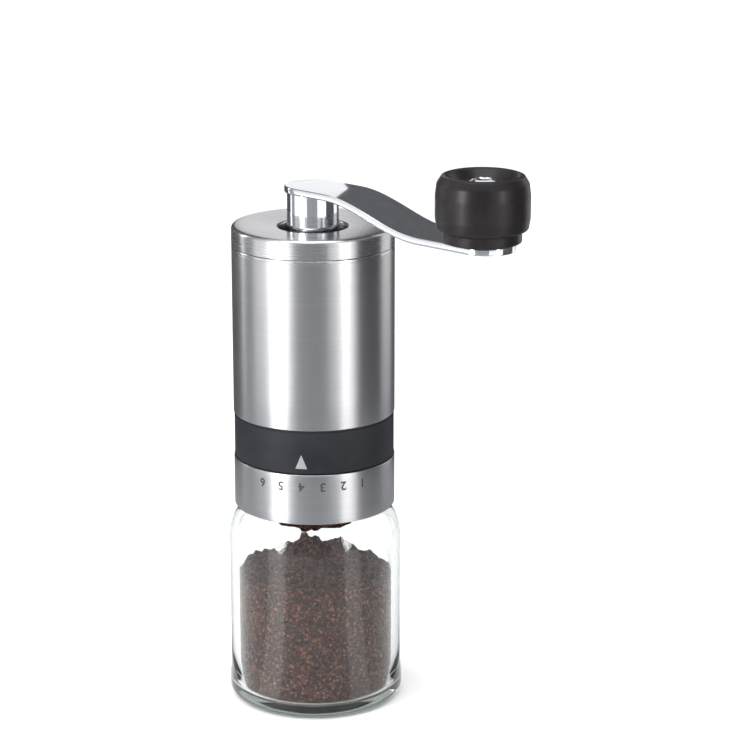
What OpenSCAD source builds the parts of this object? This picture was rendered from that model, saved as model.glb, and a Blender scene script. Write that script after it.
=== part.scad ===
// Hand crank coffee grinder standing on its glass jar, in millimetres.
// Origin: centre of the jar's base on the table. +Z runs up the common axis,
// and the crank points along +X.

/* [Glass jar] */
// Outer diameter of the jar's straight wall
jar_d = 68; // [64:0.5:72]
// Height of the jar from the table to its rim
jar_h = 94; // [88:1:104]
// Thickness of the glass wall
glass_wall = 3.2; // [2.6:0.1:4]
// Height of the ground coffee inside the jar, from the table
coffee_h = 54; // [20:1:60]

/* [Grinder body] */
// Outer diameter of the steel body
body_d = 63.5; // [63:0.1:65]
// Length of the brushed steel sleeve around the hopper
sleeve_h = 67; // [60:1:90]
// Length of the black index band
band_h = 17.5; // [16:0.5:22]
// Length of the numbered adjuster ring
ring_h = 20.5; // [20.5:0.5:24]
// Width of the steel rim around the hopper's opening
rim_w = 3.3; // [2.8:0.1:3.6]

/* [Burrs and shaft] */
// Diameter of the drive shaft
shaft_d = 7; // [6:0.1:7.4]
// How far the shaft's end stands above the hopper's opening
shaft_out = 9.5; // [8:0.5:12]
// Number of grooves cut in each burr
burr_teeth = 12; // [8:1:18]

/* [Lid] */
// Height of the lid's steel wall
lid_h = 7.5; // [6:0.5:10]
// Diameter of the hole in the middle of the lid
lid_hole_d = 27; // [24:0.5:30]
// Depth of the black plug below the steel
plug_h = 10; // [6:0.5:11]

/* [Crank] */
// Distance from the shaft to the knob's axis
arm_len = 85; // [75:1:100]
// Width of the arm
arm_w = 22; // [20.5:0.5:24]
// Thickness of the arm
arm_t = 2.6; // [2:0.1:3.4]
// How much lower the knob's end of the arm lies than its hub end
arm_drop = 10; // [4:0.5:10]
// Outer diameter of the tube under the hub
hub_d = 20; // [18:0.5:22]
// Length of the tube under the hub
hub_h = 20; // [19:0.5:26]

/* [Knob] */
// Largest diameter of the knob
knob_d = 35; // [32:0.5:40]
// Height of the knob
knob_h = 25; // [23:0.5:30]
// Diameter of the screw head in the knob
screw_head_d = 16; // [14:0.5:17]

/* [Hidden] */
$fn = 96;

// gaps: parts that only meet, parts that turn past each other, running fits
meet = 0.05;
clear = 0.3;
run = 0.05;

// radii
jar_r = jar_d / 2;
body_r = body_d / 2;
shaft_r = shaft_d / 2;
neck_r = 25.8;
thread_r = 28.2;
mouth_r = 22.6;
socket_r = thread_r + 0.4;
socket_wall = 1.1;
skin_t = 0.9;
bore_r = body_r - rim_w;

// heights
neck_h = 14.4;
shoulder_h = 13;
neck_z = jar_h - neck_h;
shoulder_z = neck_z - shoulder_h;
jar_base = 5;
ring_z = neck_z + 0.8;
band_z = ring_z + ring_h - 0.2;
sleeve_z = band_z + band_h;
top_z = sleeve_z + sleeve_h;
seal_h = 1.15;
web_z = jar_h + seal_h + 2 * meet;
slot_z = web_z + 1.6;
slot_h = 3;
finger_h = 2;
lid_z = top_z + 0.2;
arm_z = top_z + 0.4 + hub_h;
knob_z = arm_z - arm_drop + arm_t + 0.4;

// burr chamber
burr_z = jar_h + 4.4;
burr_h = 15;
carrier_r = 22.95;
carrier_in = 20.2;
frame_bore = carrier_r + 0.35;
throat_z = burr_z + burr_h + 2;
bearing_z = throat_z + 3.8;
bridge_z = top_z - 25;

// spring between the thrust washer and the lower bearing
spring_turns = 3;
spring_wire = 0.5;
spring_r = 5;
spring_z0 = burr_z + burr_h + 1.1 + spring_wire;
spring_z1 = bearing_z - 0.1 - spring_wire;
spring_steps = 16;

// drive fingers of the adjuster
finger_count = 3;
finger_angle = 14;
slot_angle = 95;
slot_start = -55;

// start and end of the arm's bend, and the well for the knob's screw
bend_from = 15;
bend_to = arm_len - 22;
well_r = screw_head_d / 2 + 1.3;
well_z = knob_h - 8;

function arc(cx, cz, r, a0, a1, n) =
    [for (i = [0 : n]) let (a = a0 + (a1 - a0) * i / n) [cx + r * cos(a), cz + r * sin(a)]];

function reversed(list) = [for (i = [len(list) - 1 : -1 : 0]) list[i]];

module tube(r_in, r_out, z, h) {
    translate([0, 0, z])
        difference() {
            cylinder(r = r_out, h = h);
            translate([0, 0, -1]) cylinder(r = r_in, h = h + 2);
        }
}

module sector(r_in, r_out, z, h, start, angle) {
    rotate([0, 0, start])
        rotate_extrude(angle = angle)
            translate([r_in, z]) square([r_out - r_in, h]);
}

module spin(points) {
    rotate_extrude() polygon(points);
}

module hex_prism(across_flats, z, h) {
    translate([0, 0, z])
        cylinder(d = across_flats / cos(30), h = h, $fn = 6);
}

// ---- jar ----

function shoulder_arc(r_top, r_low, z_low, h, n) =
    [for (i = [0 : n]) let (a = 90 * i / n)
        [r_top + (r_low - r_top) * cos(a), z_low + h * sin(a)]];

module glass_jar() {
    foot = 3.5;
    flare = 0.7;
    inner_r = jar_r - glass_wall;
    rim = 1.4;
    outside = concat(
        [[0, 0]],
        arc(jar_r + flare - foot, foot, foot, -90, 0, 8),
        [[jar_r + flare, 7], [jar_r, 14]],
        shoulder_arc(neck_r + 0.6, jar_r, shoulder_z, shoulder_h, 14),
        [[neck_r, neck_z + 0.6]],
        arc(neck_r - rim, jar_h - rim, rim, 0, 90, 6)
    );
    inner_shoulder = shoulder_arc(mouth_r + 0.6, inner_r, shoulder_z - 1.6, shoulder_h - 0.4, 10);
    inside = concat(
        arc(mouth_r + 0.8, jar_h - 0.8, 0.8, 90, 180, 4),
        [[mouth_r, neck_z - 0.4]],
        reversed(inner_shoulder),
        arc(inner_r - 4, jar_base + 4, 4, 0, -90, 8),
        [[0, jar_base + 0.6]]
    );
    color([0.86, 0.92, 0.90, 0.35]) {
        spin(concat(outside, inside));
        for (z = [neck_z + 4.4, neck_z + 9.4])
            spin([
                [neck_r - 0.5, z - 1.6], [thread_r - 0.5, z - 0.7], [thread_r, z],
                [thread_r - 0.5, z + 0.7], [neck_r - 0.5, z + 1.6]
            ]);
    }
}

module ground_coffee() {
    r = jar_r - glass_wall - clear;
    floor_z = jar_base + 0.9;
    color([0.30, 0.20, 0.17])
        spin(concat(
            [[0, floor_z]],
            arc(r - 4, floor_z + 4, 4, -90, 0, 6),
            [[r, coffee_h - 2], [r - 7, coffee_h], [0, coffee_h - 1]]
        ));
}

module jar_seal() {
    color([0.12, 0.12, 0.12])
        tube(mouth_r + 0.8, socket_r - 0.3, jar_h + meet, seal_h);
}

// ---- grinder body ----

module head_frame() {
    flange_z = slot_z + slot_h;
    color([0.16, 0.16, 0.17])
        difference() {
            union() {
                tube(socket_r, socket_r + socket_wall, ring_z, band_z - ring_z + 0.2);
                tube(frame_bore, socket_r + 0.4, web_z, 1.5);
                tube(frame_bore, frame_bore + 1.4, web_z, flange_z + 2 - web_z);
                tube(frame_bore, body_r - 2.65, flange_z, 2.4);
                tube(body_r - 4.35, body_r - 2.65, flange_z, sleeve_z + 0.1 - flange_z);
            }
            for (i = [0 : finger_count - 1])
                sector(frame_bore - 2, socket_r + 3, slot_z, slot_h,
                    slot_start + 360 / finger_count * i, slot_angle);
        }
}

module index_band() {
    color([0.18, 0.19, 0.20])
        difference() {
            tube(body_r - 2.6, body_r - 0.3, band_z + clear, band_h - clear);
            tube(body_r - 0.6, body_r + 1, band_z + band_h - 0.7, 2);
        }
}

module outer_sleeve() {
    color([0.75, 0.76, 0.77])
        tube(body_r - 1, body_r, sleeve_z + 0.15, top_z - 1.4 - sleeve_z);
}

module sleeve_rim() {
    color([0.80, 0.81, 0.82])
        spin([
            [bore_r, top_z - 1.2], [body_r, top_z - 1.2], [body_r, top_z - 0.5],
            [body_r - 0.5, top_z], [bore_r + 0.4, top_z], [bore_r, top_z - 0.4]
        ]);
}

module hopper_liner() {
    out_r = body_r - 1.3;
    low = sleeve_z + 0.3;
    throat = 17;
    wall = 2;
    color([0.10, 0.10, 0.11]) {
        spin([
            [bore_r, top_z - 1.3], [out_r, top_z - 1.3], [out_r, low], [out_r - 1.8, low],
            [out_r - 2.6, low + 8.6], [throat + wall, low - 1.2], [throat + wall, throat_z],
            [throat, throat_z], [throat, low - 0.4], [bore_r, low + 12.2]
        ]);
        difference() {
            union() {
                translate([0, 0, bearing_z]) cylinder(r = 8.8, h = 6);
                for (a = [60, 180, 300])
                    rotate([0, 0, a])
                        translate([7, -1.5, bearing_z - 3.4])
                            cube([throat + 0.8 - 7, 3, 6.4]);
            }
            translate([0, 0, bearing_z - 5]) cylinder(r = 6.6, h = 14);
        }
    }
}

module bearing_bridge() {
    hub_in = 10.6;
    color([0.09, 0.09, 0.10])
        difference() {
            union() {
                translate([0, 0, bridge_z]) cylinder(r = hub_in + 2, h = 18);
                for (a = [60, 180, 300])
                    rotate([0, 0, a])
                        translate([hub_in, -1.9, bridge_z])
                            cube([bore_r - 0.15 - hub_in, 3.8, 10]);
            }
            translate([0, 0, bridge_z - 1]) cylinder(r = hub_in, h = 30);
        }
}

module bearing_housing() {
    color([0.55, 0.56, 0.58])
        spin([
            [7.6, bridge_z + 0.5], [10.5, bridge_z + 0.5], [10.5, top_z - 2.0],
            [10.0, top_z - 1.5], [8.0, top_z - 1.5], [7.6, top_z - 1.9]
        ]);
}

module upper_bearing() {
    color([0.85, 0.85, 0.86])
        spin([
            [shaft_r + run, bridge_z + 1], [7.5, bridge_z + 1], [7.5, top_z - 1.4],
            [7.2, top_z - 1.0], [6.3, top_z - 1.0], [6.0, top_z - 1.3],
            [6.0, top_z - 7], [shaft_r + run, top_z - 7]
        ]);
}

module lower_bearing() {
    color([0.72, 0.58, 0.36])
        tube(shaft_r + run, 6.5, bearing_z, 6.8);
}

// ---- adjuster ----

module ring_skin() {
    color([0.76, 0.77, 0.78])
        spin([
            [body_r - skin_t, ring_z + 0.1], [body_r - 0.5, ring_z + 0.1],
            [body_r, ring_z + 0.6], [body_r, ring_z + ring_h - 0.3],
            [body_r - skin_t, ring_z + ring_h - 0.3]
        ]);
}

module adjuster_core() {
    core_in = socket_r + socket_wall + 0.25;
    core_out = body_r - skin_t - meet;
    color([0.15, 0.15, 0.16]) {
        tube(core_in, core_out, ring_z + 0.2, ring_h - 0.5);
        for (i = [0 : finger_count - 1])
            sector(carrier_r - 0.95, core_in + 0.3, slot_z + 0.5, finger_h,
                360 / finger_count * i - finger_angle / 2, finger_angle);
    }
}

module burr_carrier() {
    key_angle = finger_angle + 2;
    low = burr_z - 1.4;
    color([0.20, 0.20, 0.21])
        difference() {
            union() {
                tube(carrier_in, carrier_r, low, burr_h + 2);
                tube(carrier_in - 1.2, carrier_in + 0.5, low, 1.2);
            }
            for (i = [0 : finger_count - 1])
                sector(carrier_r - 1.4, carrier_r + 1, low - 1, 8,
                    360 / finger_count * i - key_angle / 2, key_angle);
        }
}

// a slanted cut along a burr's conical face, centred at radius r and height z
module groove(r, z, slope, turn, depth) {
    rotate([0, 0, turn])
        translate([r, 0, z])
            rotate([0, -slope, 0])
                rotate([18, 0, 0])
                    cube([depth, 1.8, 24], center = true);
}

module outer_burr() {
    waist_z = burr_z + 8.6;
    color([0.93, 0.92, 0.88])
        difference() {
            spin([
                [17.1, burr_z], [20.1, burr_z], [20.1, burr_z + burr_h],
                [15.8, burr_z + burr_h], [13.2, waist_z]
            ]);
            for (i = [0 : burr_teeth - 1])
                groove(14.2, burr_z + 6, 24, 360 / burr_teeth * i, 1.6);
        }
}

// ---- shaft ----

module drive_shaft() {
    low = burr_z - 3.9;
    hex_z = top_z - 0.6;
    end_z = top_z + shaft_out;
    color([0.80, 0.80, 0.81]) {
        translate([0, 0, low]) cylinder(r = shaft_r, h = hex_z - low);
        intersection() {
            hex_prism(shaft_d - 0.4, hex_z, end_z - hex_z);
            spin([
                [0, hex_z], [5, hex_z], [5, end_z - 1.8],
                [shaft_r - 0.5, end_z], [0, end_z]
            ]);
        }
    }
}

module shaft_nut() {
    color([0.82, 0.82, 0.83])
        difference() {
            hex_prism(9.6, top_z - 6.8, 4.2);
            translate([0, 0, top_z - 8]) cylinder(r = shaft_r, h = 8);
        }
}

module thrust_washer() {
    color([0.70, 0.71, 0.72])
        tube(shaft_r, 6.2, burr_z + burr_h + 0.3, 0.8);
}

function spring_ring(i) =
    let (
        a = 360 * i / spring_steps,
        f = i / (spring_turns * spring_steps),
        z = spring_z0 + (spring_z1 - spring_z0) * f
    )
    [for (k = [0 : 7]) let (b = -45 * k)
        [(spring_r + spring_wire * cos(b)) * cos(a), (spring_r + spring_wire * cos(b)) * sin(a),
            z + spring_wire * sin(b)]];

module thrust_spring() {
    rings = spring_turns * spring_steps;
    points = [for (i = [0 : rings]) each spring_ring(i)];
    sides = [for (i = [0 : rings - 1]) for (k = [0 : 7])
        [8 * i + k, 8 * i + (k + 1) % 8, 8 * i + 8 + (k + 1) % 8, 8 * i + 8 + k]];
    start = [[7, 6, 5, 4, 3, 2, 1, 0]];
    end = [[for (k = [0 : 7]) 8 * rings + k]];
    color([0.65, 0.66, 0.68])
        polyhedron(points, concat(sides, start, end));
}

module inner_burr() {
    color([0.95, 0.94, 0.90])
        difference() {
            spin([
                [shaft_r, burr_z], [16.3, burr_z], [12.4, burr_z + 8.6],
                [8.4, burr_z + burr_h], [shaft_r, burr_z + burr_h]
            ]);
            for (i = [0 : burr_teeth - 1])
                groove(12.7, burr_z + 7.5, 28, 360 / burr_teeth * (i + 0.5), 2.4);
        }
}

module burr_washer() {
    color([0.70, 0.71, 0.72])
        tube(shaft_r, 7.5, burr_z - 1, 0.9);
}

module burr_nut() {
    color([0.74, 0.75, 0.76])
        difference() {
            hex_prism(10, burr_z - 3.8, 2.7);
            translate([0, 0, burr_z - 5]) cylinder(r = shaft_r, h = 6);
        }
}

// ---- lid ----

module lid_cover() {
    hole_r = lid_hole_d / 2;
    face_z = lid_z + lid_h;
    sheet = 1;
    dish = 0.8;
    edge = 1.6;
    lip = 1;
    color([0.80, 0.81, 0.82])
        spin(concat(
            [[body_r - sheet, lid_z], [body_r, lid_z]],
            arc(body_r - edge, face_z - edge, edge, 0, 90, 8),
            arc(hole_r + lip, face_z - dish - lip, lip, 90, 180, 6),
            [[hole_r, face_z - 4.8], [hole_r + sheet, face_z - 4.8],
                [hole_r + sheet, face_z - dish - sheet - 0.6],
                [hole_r + sheet + 0.6, face_z - dish - sheet],
                [body_r - edge - 0.6, face_z - sheet],
                [body_r - sheet, face_z - edge - 0.4]]
        ));
}

module lid_plug() {
    hole_r = lid_hole_d / 2;
    plug_r = bore_r - 0.35;
    groove = 0.9;
    seal_z = lid_z - plug_h / 2;
    color([0.16, 0.15, 0.15])
        difference() {
            spin([
                [hole_r + 1.05, lid_z - plug_h], [plug_r - 0.6, lid_z - plug_h],
                [plug_r, lid_z - plug_h + 0.6], [plug_r, lid_z],
                [body_r - 1.05, lid_z + meet], [body_r - 1.05, lid_z + lid_h - 3.2],
                [hole_r + 1.05, lid_z + lid_h - 3.2]
            ]);
            tube(plug_r - groove, plug_r + 1, seal_z - 0.8, 1.6);
            translate([0, 0, lid_z - plug_h + 2])
                difference() {
                    cylinder(r = plug_r - 2.4, h = 7);
                    translate([0, 0, -1]) cylinder(r = hole_r + 2.6, h = 9);
                }
        }
}

module lid_seal() {
    seal_z = lid_z - plug_h / 2;
    color([0.08, 0.08, 0.08])
        tube(bore_r - 1.2, bore_r - 0.1, seal_z - 0.7, 1.4);
}

// ---- crank ----

// ease goes from 0 to 1, and arm_under is the arm's underside at distance x
function ease(t) = t <= 0 ? 0 : t >= 1 ? 1 : (1 - cos(180 * t)) / 2;
function arm_under(x) = arm_z - arm_drop * ease((x - bend_from) / (bend_to - bend_from));

module crank_arm() {
    half = arm_w / 2;
    end_x = arm_len + 1.5;
    steps = 20;
    bend = [for (i = [0 : steps]) bend_from + (bend_to - bend_from) * i / steps];
    low = concat([[-half - 1, arm_z]], [for (x = bend) [x, arm_under(x)]],
        [[end_x + half + 1, arm_z - arm_drop]]);
    high = [for (p = reversed(low)) [p[0], p[1] + arm_t]];
    color([0.86, 0.87, 0.89])
        difference() {
            intersection() {
                translate([0, half, 0])
                    rotate([90, 0, 0])
                        linear_extrude(arm_w) polygon(concat(low, high));
                union() {
                    cylinder(r = half, h = 400);
                    translate([0, -half, 0]) cube([end_x, arm_w, 400]);
                    translate([end_x, 0, 0]) cylinder(r = half, h = 400);
                }
            }
            translate([arm_len, 0, 0]) cylinder(r = 3.05, h = 400);
        }
}

module crank_hub() {
    color([0.86, 0.87, 0.89])
        tube(8, hub_d / 2, arm_z - hub_h, hub_h - 0.02);
}

module drive_socket() {
    low = arm_z - hub_h + 0.8;
    color([0.14, 0.14, 0.15])
        difference() {
            translate([0, 0, low]) cylinder(r = 7.95, h = hub_h - 0.9);
            hex_prism(shaft_d - 0.2, low - 1, shaft_out + 1.2);
            translate([0, 0, low - 1]) cylinder(r = shaft_r + 1.1, h = 2);
        }
}

// ---- knob ----

module knob() {
    r = knob_d / 2;
    neck = r - 3;
    shoulder = 3;
    lip_r = r - 2.6;
    bushing_r = 4.2;
    color([0.17, 0.15, 0.16])
        translate([arm_len, 0, knob_z])
            spin(concat(
                [[bushing_r + run, 0], [neck - 0.8, 0], [neck, 0.8], [neck, 3.4]],
                arc(neck + 1, 5.6, 2, -60, 0, 5),
                [[r, 9], [r, knob_h - 8]],
                arc(r - shoulder, knob_h - shoulder - 0.4, shoulder, 0, 75, 8),
                arc(lip_r - 0.6, knob_h - 1, 1, 60, 150, 5),
                arc(well_r + 5.5, knob_h + 3.2, 6.4, 260, 225, 6),
                [[well_r, knob_h - 4], [well_r - 0.2, well_z], [bushing_r + run, well_z]]
            ));
}

module knob_bushing() {
    color([0.60, 0.61, 0.62])
        translate([arm_len, 0, 0])
            tube(3.05, 4.2, knob_z - 0.35, well_z + 0.65);
}

module knob_screw() {
    head_r = screw_head_d / 2;
    head_z = knob_z + well_z + 0.35;
    low_z = arm_z - arm_drop - 0.6;
    dome = 6;
    ball_r = (head_r * head_r + dome * dome) / (2 * dome);
    ball_a = asin(head_r / ball_r);
    color([0.88, 0.89, 0.90])
        translate([arm_len, 0, 0])
            difference() {
                union() {
                    translate([0, 0, low_z]) cylinder(r = 3, h = head_z + 0.4 - low_z);
                    spin(concat(
                        [[0, head_z], [head_r - 0.3, head_z], [head_r, head_z + 0.3]],
                        arc(0, head_z + 0.8 + dome - ball_r, ball_r, 90 - ball_a, 90, 12)
                    ));
                }
                hex_prism(5, head_z + dome - 2.8, 6);
                translate([0, 0, head_z + dome + 0.1])
                    cylinder(r1 = 2.6, r2 = 4.2, h = 1.2);
            }
}

glass_jar();
ground_coffee();
jar_seal();
head_frame();
index_band();
outer_sleeve();
sleeve_rim();
hopper_liner();
bearing_bridge();
bearing_housing();
upper_bearing();
lower_bearing();
ring_skin();
adjuster_core();
burr_carrier();
outer_burr();
drive_shaft();
shaft_nut();
thrust_washer();
thrust_spring();
inner_burr();
burr_washer();
burr_nut();
lid_cover();
lid_plug();
lid_seal();
crank_arm();
crank_hub();
drive_socket();
knob();
knob_bushing();
knob_screw();
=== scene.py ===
"""Hand crank coffee grinder: visible pieces and materials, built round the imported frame.

Outlines and profiles are in millimetres. Lights, boards and camera are in metres, as the scene is.
"""
import math
import random

import bmesh
import bpy
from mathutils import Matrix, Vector, noise


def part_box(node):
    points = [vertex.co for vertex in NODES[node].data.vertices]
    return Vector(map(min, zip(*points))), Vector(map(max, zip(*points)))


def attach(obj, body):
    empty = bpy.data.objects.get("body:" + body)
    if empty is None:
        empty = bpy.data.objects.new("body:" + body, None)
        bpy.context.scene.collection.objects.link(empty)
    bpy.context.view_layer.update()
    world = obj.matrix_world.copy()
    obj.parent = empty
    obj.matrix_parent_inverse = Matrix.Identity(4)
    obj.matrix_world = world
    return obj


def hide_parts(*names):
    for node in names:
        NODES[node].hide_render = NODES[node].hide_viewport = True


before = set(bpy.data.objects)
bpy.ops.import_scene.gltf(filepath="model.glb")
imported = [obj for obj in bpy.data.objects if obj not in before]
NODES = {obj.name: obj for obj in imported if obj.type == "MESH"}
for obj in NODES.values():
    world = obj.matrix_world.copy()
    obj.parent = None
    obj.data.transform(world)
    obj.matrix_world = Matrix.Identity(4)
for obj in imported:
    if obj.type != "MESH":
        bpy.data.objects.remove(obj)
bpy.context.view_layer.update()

MM = 0.001
SEGMENTS = 160


# ---------------------------------------------------------------- materials

def new_material(name, color, roughness, metallic=0.0):
    material = bpy.data.materials.new(name)
    material.use_nodes = True
    tree = material.node_tree
    shader = tree.nodes["Principled BSDF"]
    shader.inputs["Base Color"].default_value = (*color, 1.0)
    shader.inputs["Roughness"].default_value = roughness
    shader.inputs["Metallic"].default_value = metallic
    return material, tree, shader


def add_node(tree, kind, **settings):
    node = tree.nodes.new(kind)
    for key, value in settings.items():
        setattr(node, key, value)
    return node


def math_node(tree, operation, first, second=None):
    node = add_node(tree, "ShaderNodeMath", operation=operation)
    for socket, value in zip(node.inputs, (first, second)):
        if isinstance(value, (int, float)):
            socket.default_value = value
        elif value is not None:
            tree.links.new(value, socket)
    return node.outputs[0]


def noise_texture(tree, vector, scale, detail=3.0, rough=0.55):
    node = add_node(tree, "ShaderNodeTexNoise")
    node.inputs["Scale"].default_value = scale
    node.inputs["Detail"].default_value = detail
    node.inputs["Roughness"].default_value = rough
    tree.links.new(vector, node.inputs["Vector"])
    return node.outputs["Fac"]


def ramp(tree, factor, stops):
    node = add_node(tree, "ShaderNodeValToRGB")
    elements = node.color_ramp.elements
    while len(elements) < len(stops):
        elements.new(0.5)
    for element, (place, color) in zip(elements, stops):
        element.position = place
        element.color = (*color, 1.0)
    tree.links.new(factor, node.inputs["Fac"])
    return node.outputs["Color"]


def spread(tree, factor, low, high):
    node = add_node(tree, "ShaderNodeMapRange")
    node.inputs["To Min"].default_value = low
    node.inputs["To Max"].default_value = high
    tree.links.new(factor, node.inputs["Value"])
    return node.outputs["Result"]


def add_bump(tree, shader, height, strength, distance):
    node = add_node(tree, "ShaderNodeBump")
    node.inputs["Strength"].default_value = strength
    node.inputs["Distance"].default_value = distance
    tree.links.new(height, node.inputs["Height"])
    tree.links.new(node.outputs["Normal"], shader.inputs["Normal"])


def object_place(tree):
    return add_node(tree, "ShaderNodeTexCoord").outputs["Object"]


def turned_place(tree, along, around):
    """Coordinates that run fast along the axis and the radius, and slowly round the axis."""
    split = add_node(tree, "ShaderNodeSeparateXYZ")
    tree.links.new(object_place(tree), split.inputs[0])
    x, y, z = split.outputs
    squares = [math_node(tree, "MULTIPLY", part, part) for part in (x, y)]
    radius = math_node(tree, "SQRT", math_node(tree, "ADD", *squares))
    join = add_node(tree, "ShaderNodeCombineXYZ")
    tree.links.new(math_node(tree, "MULTIPLY", x, around), join.inputs[0])
    tree.links.new(math_node(tree, "MULTIPLY", y, around), join.inputs[1])
    height = math_node(tree, "ADD", z, radius)
    tree.links.new(math_node(tree, "MULTIPLY", height, along), join.inputs[2])
    return join.outputs[0]


def turned_steel(name, color, rough_low, rough_high, lines):
    """Stainless steel brushed round the object's axis, with about this many lines a metre."""
    material, tree, shader = new_material(name, color, rough_low, 1.0)
    brush = noise_texture(tree, turned_place(tree, lines, 14.0), 1.0, 4.0, 0.7)
    smudge = noise_texture(tree, object_place(tree), 38.0, 2.0)
    most = math_node(tree, "MULTIPLY", brush, 0.75)
    rest = math_node(tree, "MULTIPLY", smudge, 0.25)
    mixed = math_node(tree, "ADD", most, rest)
    tree.links.new(spread(tree, mixed, rough_low, rough_high), shader.inputs["Roughness"])
    dark = tuple(0.86 * c for c in color)
    tree.links.new(ramp(tree, brush, [(0.3, dark), (0.7, color)]), shader.inputs["Base Color"])
    shader.inputs["Anisotropic"].default_value = 0.6
    shader.inputs["Anisotropic Rotation"].default_value = 0.25
    tangent = add_node(tree, "ShaderNodeTangent", direction_type="RADIAL", axis="Z")
    tree.links.new(tangent.outputs[0], shader.inputs["Tangent"])
    add_bump(tree, shader, brush, 0.10, 0.00006)
    return material


def polished_metal(name, color, roughness, scratch):
    """Chrome or bright steel with faint smudges and hairline scratches."""
    material, tree, shader = new_material(name, color, roughness, 1.0)
    place = object_place(tree)
    smudge = noise_texture(tree, place, 60.0, 5.0, 0.6)
    tree.links.new(spread(tree, smudge, 0.6 * roughness, 1.7 * roughness), shader.inputs["Roughness"])
    stretch = add_node(tree, "ShaderNodeMapping")
    stretch.inputs["Scale"].default_value = (1.0, 9.0, 1.0)
    tree.links.new(place, stretch.inputs["Vector"])
    hair = noise_texture(tree, stretch.outputs[0], 900.0, 3.0, 0.7)
    add_bump(tree, shader, hair, scratch, 0.00002)
    return material


def moulded_plastic(name, color, roughness, grain, coat=0.0, specular=0.3):
    """Moulded plastic: a fine grain, small changes of gloss and a slight change of tone."""
    material, tree, shader = new_material(name, color, roughness)
    place = object_place(tree)
    fine = noise_texture(tree, place, 3500.0, 2.0)
    broad = noise_texture(tree, place, 45.0, 4.0, 0.6)
    light = tuple(min(1.0, 1.35 * c + 0.004) for c in color)
    tree.links.new(ramp(tree, broad, [(0.35, color), (0.75, light)]), shader.inputs["Base Color"])
    tree.links.new(spread(tree, broad, roughness - 0.05, roughness + 0.08), shader.inputs["Roughness"])
    shader.inputs["Specular IOR Level"].default_value = specular
    shader.inputs["Coat Weight"].default_value = coat
    shader.inputs["Coat Roughness"].default_value = 0.12
    add_bump(tree, shader, fine, grain, 0.00004)
    return material


def clear_glass():
    """Pressed glass: clear, slightly green where it is thick, with faint waves."""
    material, tree, shader = new_material("jar_glass_clear", (0.985, 0.995, 0.99), 0.0)
    shader.inputs["Transmission Weight"].default_value = 1.0
    shader.inputs["IOR"].default_value = 1.46
    place = object_place(tree)
    haze = noise_texture(tree, place, 70.0, 3.0)
    tree.links.new(spread(tree, haze, 0.0, 0.025), shader.inputs["Roughness"])
    add_bump(tree, shader, noise_texture(tree, place, 55.0, 2.0), 0.05, 0.0004)
    tint = add_node(tree, "ShaderNodeVolumeAbsorption")
    tint.inputs["Color"].default_value = (0.56, 0.61, 0.585, 1.0)
    tint.inputs["Density"].default_value = 50.0
    tree.links.new(tint.outputs[0], tree.nodes["Material Output"].inputs["Volume"])
    return material


def coffee_material(name, redder):
    """Ground coffee: dark reddish brown grains with a few paler chips."""
    material, tree, shader = new_material(name, (0.05, 0.022, 0.014), 0.75)
    shader.inputs["Specular IOR Level"].default_value = 0.12
    place = object_place(tree)
    cells = add_node(tree, "ShaderNodeTexVoronoi")
    cells.inputs["Scale"].default_value = 1300.0
    tree.links.new(place, cells.inputs["Vector"])
    tone = add_node(tree, "ShaderNodeSeparateColor")
    tree.links.new(cells.outputs["Color"], tone.inputs[0])
    shades = [
        (0.0, (0.014 + redder, 0.005, 0.004)),
        (0.50, (0.046 + redder, 0.015, 0.011)),
        (0.85, (0.100 + redder, 0.034, 0.022)),
        (0.98, (0.230 + redder, 0.090, 0.048)),
    ]
    tree.links.new(ramp(tree, tone.outputs[0], shades), shader.inputs["Base Color"])
    tree.links.new(spread(tree, tone.outputs[1], 0.5, 0.9), shader.inputs["Roughness"])
    clumps = noise_texture(tree, place, 420.0, 4.0, 0.7)
    hollows = math_node(tree, "MULTIPLY", cells.outputs["Distance"], 0.9)
    height = math_node(tree, "SUBTRACT", clumps, hollows)
    add_bump(tree, shader, height, 0.65, 0.0006)
    return material


def burr_ceramic():
    """Unglazed ceramic with a fine sandy grain."""
    material, tree, shader = new_material("burr_ceramic", (0.80, 0.78, 0.72), 0.55)
    place = object_place(tree)
    broad = noise_texture(tree, place, 160.0, 4.0, 0.6)
    shades = [(0.3, (0.70, 0.67, 0.60)), (0.7, (0.84, 0.82, 0.77))]
    tree.links.new(ramp(tree, broad, shades), shader.inputs["Base Color"])
    add_bump(tree, shader, noise_texture(tree, place, 4200.0, 2.0), 0.35, 0.00005)
    return material


def floor_material():
    """Plain white studio floor."""
    material, tree, shader = new_material("studio_floor", (0.95, 0.95, 0.95), 0.55)
    broad = noise_texture(tree, object_place(tree), 6.0, 2.0)
    shades = [(0.3, (0.94, 0.94, 0.94)), (0.7, (0.96, 0.96, 0.96))]
    tree.links.new(ramp(tree, broad, shades), shader.inputs["Base Color"])
    return material


# turned_steel: colour, lowest and highest roughness, brush lines a metre
# polished_metal: colour, roughness, strength of the scratches
# moulded_plastic: colour, roughness, strength of the grain, coat, specular level
BOARD_DARK = moulded_plastic("studio_board_dark", (0.04, 0.04, 0.043), 0.9, 0.1)
BOARD_GREY = moulded_plastic("studio_board_grey", (0.225, 0.232, 0.242), 0.9, 0.1)
STEEL = turned_steel("steel_brushed_round", (0.50, 0.50, 0.51), 0.24, 0.38, 5200.0)
LID_STEEL = turned_steel("steel_lid_brushed", (0.56, 0.56, 0.57), 0.20, 0.34, 4300.0)
RIM_STEEL = turned_steel("steel_rim_turned", (0.62, 0.625, 0.635), 0.16, 0.30, 7000.0)
CHROME = polished_metal("chrome_polished", (0.80, 0.82, 0.85), 0.07, 0.06)
BRIGHT = polished_metal("steel_bright", (0.74, 0.74, 0.75), 0.18, 0.15)
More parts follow.
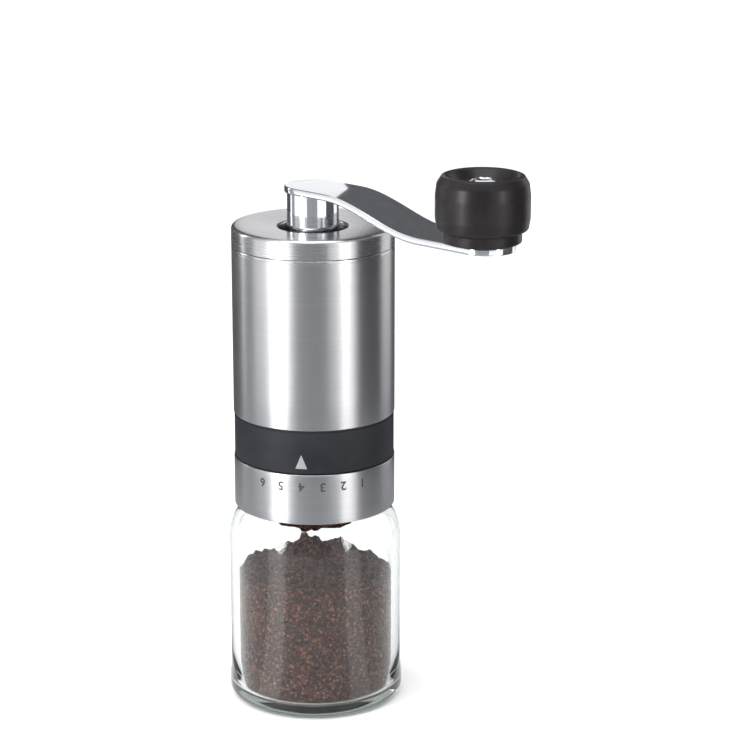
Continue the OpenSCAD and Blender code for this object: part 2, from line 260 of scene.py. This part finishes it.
BRONZE = polished_metal("bronze_sintered", (0.50, 0.33, 0.16), 0.35, 0.4)
BLACK = moulded_plastic("plastic_black_satin", (0.010, 0.009, 0.009), 0.42, 0.20, 0.0, 0.2)
BAND = moulded_plastic("plastic_charcoal_matt", (0.012, 0.013, 0.016), 0.48, 0.30, 0.0, 0.13)
GLOSS = moulded_plastic("plastic_black_gloss", (0.005, 0.005, 0.006), 0.18, 0.06, 0.1, 0.2)
GREY = moulded_plastic("plastic_grey", (0.17, 0.18, 0.20), 0.40, 0.15)
KNOB = moulded_plastic("plastic_knob_satin", (0.010, 0.008, 0.009), 0.34, 0.14, 0.03, 0.16)
INK = moulded_plastic("paint_dial_dark", (0.030, 0.031, 0.034), 0.55, 0.25)
MARK = moulded_plastic("paint_mark_pale", (0.20, 0.205, 0.21), 0.50, 0.20)
RUBBER = moulded_plastic("silicone_black", (0.022, 0.022, 0.023), 0.62, 0.3)
CERAMIC = burr_ceramic()
GLASS = clear_glass()
COFFEE = coffee_material("coffee_ground", 0.0)
COFFEE_CHIPS = coffee_material("coffee_chips", 0.02)

NODE_MATERIALS = {
    "jar_seal": RUBBER, "head_frame": BLACK, "hopper_liner": GLOSS, "bearing_bridge": GLOSS,
    "bearing_housing": GREY, "upper_bearing": BRIGHT, "lower_bearing": BRONZE,
    "adjuster_core": BLACK, "burr_carrier": BLACK, "outer_burr": CERAMIC,
    "drive_shaft": BRIGHT, "shaft_nut": BRIGHT, "thrust_washer": BRIGHT, "thrust_spring": BRIGHT,
    "inner_burr": CERAMIC, "burr_washer": BRIGHT, "burr_nut": BRIGHT,
    "lid_plug": BLACK, "lid_seal": RUBBER, "drive_socket": BLACK, "knob_bushing": BRIGHT,
}


def paint_nodes():
    """Gives the CAD nodes that stay in view their materials."""
    for name, material in NODE_MATERIALS.items():
        for slot in NODES[name].material_slots:
            slot.link = "OBJECT"
            slot.material = material


# ------------------------------------------------------------ mesh helpers

def add_piece(name, mesh, material, body, replaced=()):
    """Links a mesh as one piece of the object and says what it rides on."""
    mesh.materials.append(material)
    piece = bpy.data.objects.new(name, mesh)
    bpy.context.scene.collection.objects.link(piece)
    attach(piece, body)
    if replaced:
        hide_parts(*replaced)


def finish_mesh(build, name, sharp_angle=40.0):
    """Turns a bmesh into a smooth-shaded mesh, with edges over the angle left sharp."""
    bmesh.ops.recalc_face_normals(build, faces=build.faces)
    mesh = bpy.data.meshes.new(name)
    build.to_mesh(mesh)
    build.free()
    mesh.shade_smooth()
    mesh.set_sharp_from_angle(angle=math.radians(sharp_angle))
    return mesh


def rounded(points, steps=5):
    """An outline with its corners filleted: each point is (r, z) or (r, z, fillet), in millimetres."""
    outline = []
    count = len(points)
    for i, point in enumerate(points):
        here = Vector(point[:2])
        fillet = point[2] if len(point) > 2 else 0.0
        if fillet <= 0.0:
            outline.append(tuple(here))
            continue
        back = (Vector(points[i - 1][:2]) - here).normalized()
        ahead = (Vector(points[(i + 1) % count][:2]) - here).normalized()
        half = back.angle(ahead) / 2
        reach = fillet / math.tan(half)
        centre = here + (back + ahead).normalized() * fillet / math.sin(half)
        start = here + back * reach - centre
        end = here + ahead * reach - centre
        turn = start.angle_signed(end)
        for step in range(steps + 1):
            angle = -turn * step / steps
            c, s = math.cos(angle), math.sin(angle)
            outline.append((centre.x + c * start.x - s * start.y, centre.y + s * start.x + c * start.y))
    return outline


def lathe(outline, name, closed=True, centre=(0.0, 0.0), shape=None, segments=SEGMENTS, sharp=40.0):
    """Turns an outline of (r, z) in millimetres round an upright axis.

    shape(r, z, angle) may return a changed (r, z). A point on the axis becomes one vertex.
    """
    build = bmesh.new()
    rings = []
    for r, z in outline:
        ring = []
        for k in range(segments):
            angle = 2 * math.pi * k / segments
            rr, zz = shape(r, z, angle) if shape else (r, z)
            x = centre[0] + rr * math.cos(angle)
            y = centre[1] + rr * math.sin(angle)
            ring.append(build.verts.new((x * MM, y * MM, zz * MM)))
            if r < 1e-6:
                break
        rings.append(ring)
    pairs = list(zip(rings, rings[1:]))
    if closed:
        pairs.append((rings[-1], rings[0]))
    for low, high in pairs:
        for k in range(segments):
            n = (k + 1) % segments
            if len(low) == 1 and len(high) == 1:
                continue
            if len(low) == 1:
                build.faces.new((low[0], high[n], high[k]))
            elif len(high) == 1:
                build.faces.new((low[k], low[n], high[0]))
            else:
                build.faces.new((low[k], low[n], high[n], high[k]))
    return finish_mesh(build, name, sharp)


def sweep(build, rings):
    """Skins closed cross-sections in their order and caps both ends."""
    count = len(rings[0])
    for before, after in zip(rings, rings[1:]):
        for k in range(count):
            n = (k + 1) % count
            build.faces.new((before[k], before[n], after[n], after[k]))
    build.faces.new(rings[0])
    build.faces.new(rings[-1][::-1])


def limits(node):
    """(outer radius, lowest z, highest z) of a node round the main axis, in millimetres."""
    low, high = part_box(node)
    return high[1] / MM, low[2] / MM, high[2] / MM


def upright_limits(node):
    """(axis x, axis y, radius, lowest z, highest z) of a node round any upright axis, in millimetres."""
    low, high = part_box(node)
    x = (low[0] + high[0]) / 2 / MM
    y = (low[1] + high[1]) / 2 / MM
    return x, y, (high[0] - low[0]) / 2 / MM, low[2] / MM, high[2] / MM


def curve_points(r0, z0, r1, z1, steps, bulge):
    """The points between the ends of a quarter-oval from (r0, z0) to (r1, z1).

    With bulge "out" it leaves (r0, z0) upright, and with "in" it leaves it level.
    """
    points = []
    for i in range(1, steps):
        t = math.pi / 2 * i / steps
        if bulge == "out":
            points.append((r1 + (r0 - r1) * math.cos(t), z0 + (z1 - z0) * math.sin(t)))
        else:
            points.append((r0 + (r1 - r0) * math.sin(t), z1 + (z0 - z1) * math.cos(t)))
    return points


LONG_EDGE = 8.0


def divide_long_edges(outline, parts):
    """Cuts every edge that rises or falls by more than LONG_EDGE into equal parts."""
    points = []
    for here, there in zip(outline, outline[1:]):
        points.append(here)
        rise = there[1] - here[1]
        if abs(rise) > LONG_EDGE:
            points += [(here[0], here[1] + rise * i / parts) for i in range(1, parts)]
    points.append(outline[-1])
    return points


# ------------------------------------------------------------------ the jar

JAR_WALL = 3.2
SHOULDER_HEIGHT = 13.0
NECK_HEIGHT = 14.4
NECK_R = 25.8
MOUTH_R = 22.6
LIP = 1.6
THREAD_R = 28.2
THREAD_PITCH = 5.5
THREAD_TURNS = 1.6
# height of the thread's start above the neck's foot
THREAD_START = 1.9
THREAD_HALF_WIDTH = 1.45
# share of a turn over which the thread grows and fades
THREAD_RUN_IN = 0.08
SOCKET_THREAD_TURNS = 1.35


def thread_bulge(z, angle, start_z):
    """How far, from 0 to 1, the right-hand thread stands out at this height and angle."""
    best = 0.0
    for turn in range(3):
        swept = angle / (2 * math.pi) + turn
        if swept > THREAD_TURNS:
            continue
        gap = abs(z - start_z - THREAD_PITCH * swept) / THREAD_HALF_WIDTH
        fade = min(1.0, swept / THREAD_RUN_IN, (THREAD_TURNS - swept) / THREAD_RUN_IN)
        if gap < 1.0:
            best = max(best, fade * math.cos(gap * math.pi / 2) ** 0.8)
    return best


def make_jar():
    foot_r, base_z, rim_z = limits("glass_jar")
    wall_r = foot_r - 0.7
    inner_r = wall_r - JAR_WALL
    neck_z = rim_z - NECK_HEIGHT
    shoulder_z = neck_z - SHOULDER_HEIGHT

    # outside: the base from its middle, the foot, the wall, the shoulder, the neck and the lip
    foot_z = base_z + 4.6
    outside = [(0, base_z + 1.0), (12, base_z + 0.9), (24, base_z + 0.5), (27.5, base_z + 0.1),
               (29.0, base_z), (31.0, base_z)]
    outside += curve_points(foot_r - 3.4, base_z, foot_r, foot_z, 8, "in")
    outside += [(foot_r, foot_z), (foot_r, base_z + 7), (foot_r - 0.25, base_z + 10),
                (wall_r + 0.08, base_z + 13.5), (wall_r, base_z + 18)]
    outside += [(wall_r, z) for z in (30, 42, 54, shoulder_z - 4, shoulder_z)]
    outside += curve_points(wall_r, shoulder_z, NECK_R + 0.7, neck_z - 0.4, 14, "out")
    outside += [(NECK_R + 0.25, neck_z - 0.1)]
    neck_low = neck_z + 0.5
    neck_high = rim_z - LIP
    neck_rows = 34
    outside += [(NECK_R, neck_low + (neck_high - neck_low) * i / neck_rows) for i in range(neck_rows + 1)]
    outside += curve_points(NECK_R, neck_high, NECK_R - LIP, rim_z, 6, "out")
    outside += [(NECK_R - LIP, rim_z)]

    # inside: the lip, the mouth, under the shoulder, the wall and the floor to its middle
    mouth_z = rim_z - 1.2
    throat_r = MOUTH_R + 0.6
    throat_z = neck_z - 1.6
    under_z = shoulder_z - 1.6
    bowl_z = base_z + 7.2
    floor_r = inner_r - 3
    floor_z = base_z + 4.2
    inside = [(MOUTH_R + 1.2, rim_z)]
    inside += curve_points(MOUTH_R + 1.2, rim_z, MOUTH_R, mouth_z, 5, "in")
    inside += [(MOUTH_R, z) for z in (mouth_z, rim_z - 5, neck_z)]
    inside += [(MOUTH_R + 0.15, neck_z - 0.9), (throat_r, throat_z)]
    inside += curve_points(inner_r, under_z, throat_r, throat_z, 12, "out")[::-1]
    inside += [(inner_r, z) for z in (under_z, 54, 42, 30, 18, bowl_z)]
    inside += curve_points(inner_r, bowl_z, floor_r, floor_z, 8, "out")
    inside += [(floor_r, floor_z), (16, base_z + 4.4), (8, base_z + 4.5), (0, base_z + 4.6)]

    def shape(r, z, angle):
        if abs(r - NECK_R) < 1e-6 and z > neck_z:
            return r + (THREAD_R - NECK_R) * thread_bulge(z, angle, neck_z + THREAD_START), z
        return r, z

    mesh = lathe(outside + inside, "jar_glass", closed=False, shape=shape, segments=224, sharp=60.0)
    add_piece("jar_glass", mesh, GLASS, "jar", ["glass_jar"])


def make_socket_thread():
    """The thread inside the head's socket, half a lead away from the jar's own thread."""
    rim_z = limits("glass_jar")[2]
    start_z = rim_z - NECK_HEIGHT + THREAD_START + THREAD_PITCH / 2
    wall_r = THREAD_R + 0.45
    crest_r = NECK_R + 0.75
    steps = 150
    run_in_steps = 8
    build = bmesh.new()
    rings = []
    for i in range(steps + 1):
        swept = SOCKET_THREAD_TURNS * i / steps
        angle = 2 * math.pi * swept
        z = start_z + THREAD_PITCH * swept
        grow = min(1.0, i / run_in_steps, (steps - i) / run_in_steps)
        tip_r = wall_r - (wall_r - crest_r) * max(0.06, grow)
        section = [(wall_r, z - 1.15), (tip_r + 0.3, z - 0.5), (tip_r, z), (tip_r + 0.3, z + 0.5),
                   (wall_r, z + 1.15)]
        rings.append([build.verts.new((r * math.cos(angle) * MM, r * math.sin(angle) * MM, h * MM))
                      for r, h in section])
    sweep(build, rings)
    add_piece("socket_thread", finish_mesh(build, "socket_thread", 50.0), BLACK, "head")


CHIP_COUNT = 1500
# how far the chips stay from the coffee's edge
CHIP_MARGIN = 1.1


def heap_height(x, y):
    """Height of the coffee's uneven top above its mean, in millimetres, at x, y in millimetres."""
    place = Vector((x, y, 0.0))
    broad = noise.noise(place * 0.055 + Vector((3.1, 7.7, 0.0))) * 2.2
    clump = noise.turbulence(place * 0.16, 3, False) * 2.4
    edge = max(0.0, math.hypot(x, y) - 24.0) * 0.16
    return broad + clump + edge - 2.6


def make_coffee():
    """The bed of ground coffee on the jar's floor, and loose chips over its top."""
    coffee_r, solid_z, top_z = limits("ground_coffee")
    # the jar's drawn floor is thinner than its solid's, so the bed starts lower
    bed_z = solid_z - 1.0
    outline = [(0, bed_z), (12, bed_z - 0.1), (24, bed_z)]
    outline += curve_points(coffee_r - 3.0, bed_z, coffee_r, bed_z + 3.0, 6, "in")
    wall_rows = 44
    wall_low = bed_z + 3.4
    wall_high = top_z - 0.2
    outline += [(coffee_r, wall_low + (wall_high - wall_low) * i / wall_rows)
                for i in range(wall_rows + 1)]
    top_rows = 40
    outline += [(coffee_r * (1 - i / top_rows), top_z) for i in range(1, top_rows + 1)]

    def shape(r, z, angle):
        x, y = r * math.cos(angle), r * math.sin(angle)
        if z > top_z - 0.3:
            return r, top_z + heap_height(x, y)
        if r > coffee_r - 0.01:
            pull = max(0.0, noise.noise(Vector((x, y, z)) * 0.55)) * 0.55
            lift = heap_height(x, y) * (z - wall_low) / (wall_high - wall_low)
            return r - pull, z + lift
        return r, z

    mesh = lathe(outline, "coffee_bed", closed=False, shape=shape, segments=260, sharp=180.0)
    add_piece("coffee_bed", mesh, COFFEE, "jar", ["ground_coffee"])

    chance = random.Random(11)
    build = bmesh.new()
    for _ in range(CHIP_COUNT):
        angle = chance.uniform(0, 2 * math.pi)
        r = (coffee_r - CHIP_MARGIN) * math.sqrt(chance.random())
        x, y = r * math.cos(angle), r * math.sin(angle)
        size = chance.uniform(0.35, 0.85)
        place = Vector((x, y, top_z + heap_height(x, y) + 0.15 * size))
        made = bmesh.ops.create_icosphere(build, subdivisions=1, radius=size * 0.5 * MM)
        squash = Vector((chance.uniform(0.7, 1.3), chance.uniform(0.6, 1.1), chance.uniform(0.5, 0.9)))
        for vert in made["verts"]:
            jolt = Vector([chance.uniform(-0.12, 0.12) * size * MM for _ in range(3)])
            vert.co = Vector([c * s for c, s in zip(vert.co, squash)]) + jolt + place * MM
    mesh = finish_mesh(build, "coffee_chips", 20.0)
    add_piece("coffee_chips", mesh, COFFEE_CHIPS, "jar")


# ----------------------------------------------------------- grinder's body

def shell(name, node, material, body, wall, low_edge, high_edge):
    """A tube of sheet metal with rounded outer edges, in place of a CAD tube."""
    r, z0, z1 = limits(node)
    outline = rounded([(r - wall, z0), (r, z0, low_edge), (r, z1, high_edge), (r - wall, z1)], 6)
    mesh = lathe(divide_long_edges(outline, 6), name)
    add_piece(name, mesh, material, body, [node])


def make_body_shells():
    shell("sleeve_shell", "outer_sleeve", STEEL, "head", 1.0, 0.35, 0.2)
    shell("ring_shell", "ring_skin", STEEL, "ring", 0.9, 0.5, 0.3)

    band_r, z0, z1 = limits("index_band")
    back_r = band_r - 2.3
    # the band's top steps back under the sleeve's edge
    step_r = band_r - 0.3
    step_z = z1 - 0.7
    outline = rounded([(back_r, z0), (band_r, z0, 0.3), (band_r, step_z, 0.15),
                       (step_r, step_z), (step_r, z1), (back_r, z1)])
    add_piece("band_shell", lathe(outline, "band_shell"), BAND, "head", ["index_band"])

    rim_r, z0, z1 = limits("sleeve_rim")
    back_r = rim_r - 3.3
    outline = rounded([(back_r, z0), (rim_r, z0), (rim_r, z1, 0.55), (back_r, z1, 0.4)])
    add_piece("rim_ring", lathe(outline, "rim_ring"), RIM_STEEL, "head", ["sleeve_rim"])


# the dial: six settings 15 degrees apart, with setting 4 under the mark at rest
SETTINGS = 6
MARK_ANGLE = -56.0
DIAL_STEP = 15.0
REST_SETTING = 4
DIGIT_HEIGHT = 3.4
# font size for a digit of height 1
FONT_SIZE = 1.42
# the digits' middle below the ring's top edge
DIGIT_DROP = 4.6
MARK_HALF_WIDTH = 2.3
MARK_HEIGHT = 5.6


def wrap(mesh, radius, angle, height, turned=False):
    """Bends a flat drawing in x and y, with its thickness in z, round the main axis.

    turned leaves the drawing upside down.
    """
    sign = -1.0 if turned else 1.0
    for vert in mesh.vertices:
        u, v, w = vert.co
        theta = math.radians(angle) + sign * u / radius
        r = radius + w
        vert.co = (r * math.cos(theta), r * math.sin(theta), height + sign * v)


def make_digit(number):
    ring_r, _, ring_top = limits("ring_skin")
    drawing = bpy.data.curves.new(f"digit_{number}", "FONT")
    drawing.body = str(number)
    drawing.size = DIGIT_HEIGHT * MM * FONT_SIZE
    drawing.align_x = "CENTER"
    drawing.align_y = "CENTER"
    drawing.extrude = 0.05 * MM
    drawing.offset = 0.10 * MM
    drawing.resolution_u = 8
    holder = bpy.data.objects.new(f"digit_{number}_drawing", drawing)
    bpy.context.scene.collection.objects.link(holder)
    bpy.context.view_layer.update()
    evaluated = holder.evaluated_get(bpy.context.evaluated_depsgraph_get())
    mesh = bpy.data.meshes.new_from_object(evaluated)
    bpy.data.objects.remove(holder)
    mesh.name = f"dial_digit_{number}"
    mesh.materials.clear()
    angle = MARK_ANGLE - (number - REST_SETTING) * DIAL_STEP
    wrap(mesh, ring_r * MM, angle, (ring_top - DIGIT_DROP) * MM, turned=True)
    add_piece(f"dial_digit_{number}", mesh, INK, "ring")


def make_mark():
    """The pale triangle on the band, with its apex up."""
    band_r, band_low, _ = limits("index_band")
    build = bmesh.new()
    corners = [(-MARK_HALF_WIDTH, 0.0), (MARK_HALF_WIDTH, 0.0), (0.0, MARK_HEIGHT)]
    steps = 6
    outline = []
    for (u0, v0), (u1, v1) in zip(corners, corners[1:] + corners[:1]):
        outline += [(u0 + (u1 - u0) * i / steps, v0 + (v1 - v0) * i / steps) for i in range(steps)]
    # from a little inside the band to a little outside it
    sweep(build, [[build.verts.new((u * MM, v * MM, height * MM)) for u, v in outline]
                  for height in (-0.1, 0.06)])
    bmesh.ops.triangulate(build, faces=build.faces)
    mesh = finish_mesh(build, "band_mark", 30.0)
    wrap(mesh, band_r * MM, MARK_ANGLE, (band_low + 2.2) * MM)
    add_piece("band_mark", mesh, MARK, "head")


# ------------------------------------------------------------------ the lid

def make_lid():
    lid_r, z0, z1 = limits("lid_cover")
    hole_r = 13.5
    sheet = 1.0
    # how far the top sinks from its edge to its hole
    dish = 0.8
    flat_r = lid_r - 1.9
    collar_z = z1 - 4.8
    side = [(lid_r - sheet, z0), (lid_r, z0), (lid_r, z1, 1.5)]
    across = [(flat_r - (flat_r - hole_r - 1.4) * t, z1 - dish * t ** 1.4)
              for t in (0.15, 0.3, 0.45, 0.6, 0.75, 0.9)]
    collar = [(hole_r, z1 - dish, 0.9), (hole_r, collar_z), (hole_r + sheet, collar_z),
              (hole_r + sheet, z1 - dish - sheet, 0.5), (lid_r - sheet, z1 - sheet, 0.8)]
    outline = rounded(side + across + collar, 7)
    mesh = lathe(outline, "lid_shell", segments=192, sharp=50.0)
    add_piece("lid_shell", mesh, LID_STEEL, "lid", ["lid_cover"])


# ---------------------------------------------------------------- the crank

ARM_T = 2.6
ARM_EDGE = 0.55
# the arm bends between this x and this far short of the knob's axis
BEND_FROM = 15.0
BEND_MARGIN = 22.0


def arm_stations(half, end_x):
    """(x, half width) along the arm, which closes round at both ends."""
    end_steps = 18
    straight_steps = 60
    turns = [math.pi / 2 * i / end_steps for i in range(end_steps + 1)]
    stations = [(-half * math.cos(a), half * math.sin(a)) for a in turns]
    stations += [(end_x * i / straight_steps, half) for i in range(1, straight_steps)]
    stations += [(end_x + half * math.sin(a), half * math.cos(a)) for a in turns]
    return stations


def arm_section(width):
    """The arm's cross-section with rounded edges, as (y, height) points round its middle."""
    width = max(width, 0.02)
    soft = min(ARM_EDGE, width * 0.9)
    thick = ARM_T / 2
    section = []
    corners = [(width, -thick, -90), (width, thick, 0), (-width, thick, 90), (-width, -thick, 180)]
    for y, h, start in corners:
        corner_y = y - math.copysign(soft, y)
        corner_h = h - math.copysign(ARM_EDGE, h)
        for k in range(5):
            a = math.radians(start + 22.5 * k)
            section.append((corner_y + soft * math.cos(a), corner_h + ARM_EDGE * math.sin(a)))
    return section


def make_arm():
    low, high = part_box("crank_arm")
    half = (high[1] - low[1]) / 2 / MM
    end_x = high[0] / MM - half
    top_z = high[2] / MM
    drop = (high[2] - low[2]) / MM - ARM_T
    bend_to = upright_limits("knob")[0] - BEND_MARGIN

    def fall(x):
        t = min(1.0, max(0.0, (x - BEND_FROM) / (bend_to - BEND_FROM)))
        return drop * (1 - math.cos(math.pi * t)) / 2

    def slope(x):
        return math.atan2(fall(x + 0.05) - fall(x - 0.05), 0.1)

    build = bmesh.new()
    rings = []
    for x, width in arm_stations(half, end_x):
        tilt = slope(x)
        mid = top_z - ARM_T / 2 - fall(x)
        lean, rise = math.sin(tilt) * MM, math.cos(tilt) * MM
        rings.append([build.verts.new((x * MM + h * lean, y * MM, mid * MM + h * rise))
                      for y, h in arm_section(width)])
    sweep(build, rings)
    mesh = finish_mesh(build, "crank_strip", 42.0)
    add_piece("crank_strip", mesh, CHROME, "crank", ["crank_arm"])


def make_hub():
    r, z0, z1 = limits("crank_hub")
    bore_r = r - 2.0
    outline = rounded([(bore_r, z0, 0.3), (r, z0, 0.7), (r, z1), (bore_r, z1)], 6)
    mesh = lathe(divide_long_edges(outline, 4), "hub_tube")
    add_piece("hub_tube", mesh, CHROME, "crank", ["crank_hub"])


# depth of the well in the knob's top, which holds the screw's head
WELL_DEPTH = 8.0


def make_knob():
    x, y, r, z0, z1 = upright_limits("knob")
    bore_r = 4.25
    foot_r = r - 3.0
    well_r = upright_limits("knob_screw")[2] + 1.1
    well_z = z1 - WELL_DEPTH
    outline = rounded([
        (bore_r, z0), (foot_r, z0, 0.7), (foot_r, z0 + 4.0, 0.5), (r - 0.7, z0 + 5.0, 1.1),
        (r, z0 + 9.0, 9.0), (r, z1 - 7.5, 9.0), (r - 0.55, z1 - 3.2, 2.4), (r - 2.2, z1 - 0.5, 0.8),
        (r - 3.6, z1, 0.7), (r - 4.6, z1 - 0.7, 1.2), (well_r + 1.2, z1 - 3.6, 2.5),
        (well_r, z1 - 4.4, 0.5), (well_r - 0.2, well_z, 0.4), (bore_r, well_z)
    ], 7)
    mesh = lathe(outline, "knob_body", centre=(x, y), sharp=70.0)
    add_piece("knob_body", mesh, KNOB, "knob", ["knob"])


def make_screw():
    """A domed screw, with its hexagon socket's six flats running up into the dome."""
    x, y, _, _, knob_top = upright_limits("knob")
    _, _, r, z0, _ = upright_limits("knob_screw")
    shank_r = 3.0
    dome = 6.0
    head_z = knob_top - WELL_DEPTH + 0.35
    top_z = head_z + 0.8 + dome
    ball_r = (r * r + dome * dome) / (2 * dome)
    ball_z = top_z - ball_r
    socket_r = 2.9
    floor_z = top_z - 3.4
    outline = [(0, z0), (shank_r - 0.4, z0), (shank_r, z0 + 0.4), (shank_r, head_z),
               (r - 0.5, head_z), (r - 0.1, head_z + 0.2), (r, head_z + 0.7)]
    rim = math.asin(r / ball_r)
    hole = math.asin((socket_r + 0.75) / ball_r)
    steps = 14
    for i in range(1, steps + 1):
        a = rim + (hole - rim) * i / steps
        outline.append((ball_r * math.sin(a), ball_z + ball_r * math.cos(a)))
    hole_z = outline[-1][1]
    outline += [(socket_r + 0.45, hole_z - 0.05), (socket_r + 0.12, hole_z - 0.35),
                (socket_r, hole_z - 0.5), (socket_r - 0.001, floor_z + 0.02),
                (socket_r * 0.96, floor_z), (socket_r * 0.4, floor_z - 0.5), (0, floor_z - 0.8)]

    def shape(rr, z, angle):
        if z > floor_z - 0.6 and socket_r * 0.5 < rr <= socket_r + 0.13:
            from_flat = (angle + math.pi / 6) % (math.pi / 3) - math.pi / 6
            return rr * math.cos(math.pi / 6) / math.cos(from_flat), z
        return rr, z

    mesh = lathe(outline, "knob_bolt", closed=False, centre=(x, y), shape=shape, sharp=28.0)
    add_piece("knob_bolt", mesh, CHROME, "crank", ["knob_screw"])


# --------------------------------------------------------- stage and camera

FLOOR_REACH = 6.0


def make_floor():
    build = bmesh.new()
    bmesh.ops.create_grid(build, x_segments=8, y_segments=8, size=FLOOR_REACH)
    mesh = finish_mesh(build, "floor")
    mesh.materials.append(floor_material())
    floor = bpy.data.objects.new("floor", mesh)
    bpy.context.scene.collection.objects.link(floor)


CAMERA_AZIMUTH = 42.0
CAMERA_ELEVATION = 15.7
CAMERA_DISTANCE = 1.0
# the point the camera looks at: its height, and how far it lies to the right of the main axis
LOOK_HEIGHT = 0.132
LOOK_RIGHT = 0.024
LIGHT_TARGET = Vector((0.0, 0.0, 0.11))
BOARD_DISTANCE = 0.28
BOARD_HEIGHT = 0.60
BOARD_GAP = 0.01
APRON_RADII = (0.055, 0.3, 0.6)
APRON_HEIGHT = 0.0005

# name, turn to the left of the camera in degrees, width, material
BOARDS = [
    ("board_front", 2, 0.24, BOARD_GREY),
    ("board_right", -84, 0.24, BOARD_DARK),
    ("board_left", 96, 0.10, BOARD_GREY),
    ("board_back_left", 142, 0.30, BOARD_DARK),
    ("board_back_right", -156, 0.22, BOARD_DARK),
]


def from_camera(turn, distance, height):
    """A place round the object, turned in degrees to the left of the camera's direction."""
    a = math.radians(CAMERA_AZIMUTH - turn)
    return (distance * math.sin(a), -distance * math.cos(a), height)


def hide_board(board):
    """Leaves a studio board visible to reflections only."""
    board.visible_camera = False
    board.visible_diffuse = False
    board.visible_transmission = False
    board.visible_shadow = False
    bpy.context.scene.collection.objects.link(board)


def make_board(name, turn, width, material):
    """An upright studio board that gives the metal its dark bands."""
    build = bmesh.new()
    bmesh.ops.create_grid(build, x_segments=4, y_segments=4, size=0.5)
    bmesh.ops.scale(build, vec=(width, BOARD_HEIGHT, 1.0), verts=build.verts)
    mesh = finish_mesh(build, name)
    mesh.materials.append(material)
    board = bpy.data.objects.new(name, mesh)
    board.location = from_camera(turn, BOARD_DISTANCE, BOARD_HEIGHT / 2 + BOARD_GAP)
    aim = Vector((-board.location.x, -board.location.y, 0.0))
    board.rotation_euler = aim.to_track_quat("Z", "Y").to_euler()
    hide_board(board)


def make_apron(name, first, last):
    """A grey sector just over the floor, so that the glass and steel don't mirror plain white."""
    steps = 48
    build = bmesh.new()
    rows = []
    for i in range(steps + 1):
        turn = first + (last - first) * i / steps
        rows.append([build.verts.new(from_camera(turn, radius, APRON_HEIGHT)) for radius in APRON_RADII])
    for here, there in zip(rows, rows[1:]):
        for k in range(len(APRON_RADII) - 1):
            build.faces.new((here[k], here[k + 1], there[k + 1], there[k]))
    mesh = finish_mesh(build, name)
    mesh.materials.append(BOARD_GREY)
    hide_board(bpy.data.objects.new(name, mesh))


def soft_box(name, place, width, height, power):
    light = bpy.data.lights.new(name, "AREA")
    light.shape = "ELLIPSE"
    light.size = width
    light.size_y = height
    light.energy = power
    holder = bpy.data.objects.new(name, light)
    holder.location = place
    aim = LIGHT_TARGET - Vector(place)
    holder.rotation_euler = aim.to_track_quat("-Z", "Y").to_euler()
    bpy.context.scene.collection.objects.link(holder)


def make_lights():
    soft_box("key_left", from_camera(48, 0.85, 0.30), 0.26, 0.60, 6.5)
    soft_box("fill_right", from_camera(-46, 0.95, 0.34), 0.16, 0.60, 2.5)
    soft_box("top", from_camera(10, 0.25, 1.15), 0.9, 0.7, 7.0)
    soft_box("back", from_camera(118, 1.0, 0.45), 0.4, 0.6, 3.0)


def make_world():
    """A white surround, a little dimmer overhead."""
    world = bpy.data.worlds.new("studio")
    world.use_nodes = True
    tree = world.node_tree
    split = add_node(tree, "ShaderNodeSeparateXYZ")
    tree.links.new(add_node(tree, "ShaderNodeTexCoord").outputs["Generated"], split.inputs[0])
    half = math_node(tree, "MULTIPLY", split.outputs[2], 0.5)
    height = math_node(tree, "ADD", half, 0.5)
    shades = [(0.0, (1.0, 1.0, 1.0)), (0.52, (0.98, 0.98, 0.985)), (1.0, (0.96, 0.965, 0.975))]
    tree.links.new(ramp(tree, height, shades), tree.nodes["Background"].inputs["Color"])
    tree.nodes["Background"].inputs["Strength"].default_value = 1.06
    bpy.context.scene.world = world
    bpy.context.scene.view_settings.view_transform = "Standard"


def make_camera():
    camera = bpy.data.cameras.new("camera")
    camera.sensor_width = 36.0
    camera.lens = 122.0
    camera.clip_start = 0.05
    camera.dof.use_dof = False
    holder = bpy.data.objects.new("camera", camera)
    azimuth = math.radians(CAMERA_AZIMUTH)
    elevation = math.radians(CAMERA_ELEVATION)
    target = Vector((LOOK_RIGHT * math.cos(azimuth), LOOK_RIGHT * math.sin(azimuth), LOOK_HEIGHT))
    away = Vector((math.sin(azimuth) * math.cos(elevation), -math.cos(azimuth) * math.cos(elevation),
                   math.sin(elevation)))
    holder.location = target + away * CAMERA_DISTANCE
    holder.rotation_euler = (-away).to_track_quat("-Z", "Y").to_euler()
    bpy.context.scene.collection.objects.link(holder)
    bpy.context.scene.camera = holder


paint_nodes()
make_jar()
make_socket_thread()
make_coffee()
make_body_shells()
for setting in range(1, SETTINGS + 1):
    make_digit(setting)
make_mark()
make_lid()
make_arm()
make_hub()
make_knob()
make_screw()
make_floor()
for board in BOARDS:
    make_board(*board)
make_apron("apron_front", -38, 36)
make_apron("apron_back", 60, 300)
make_lights()
make_world()
make_camera()

bpy.context.view_layer.update()
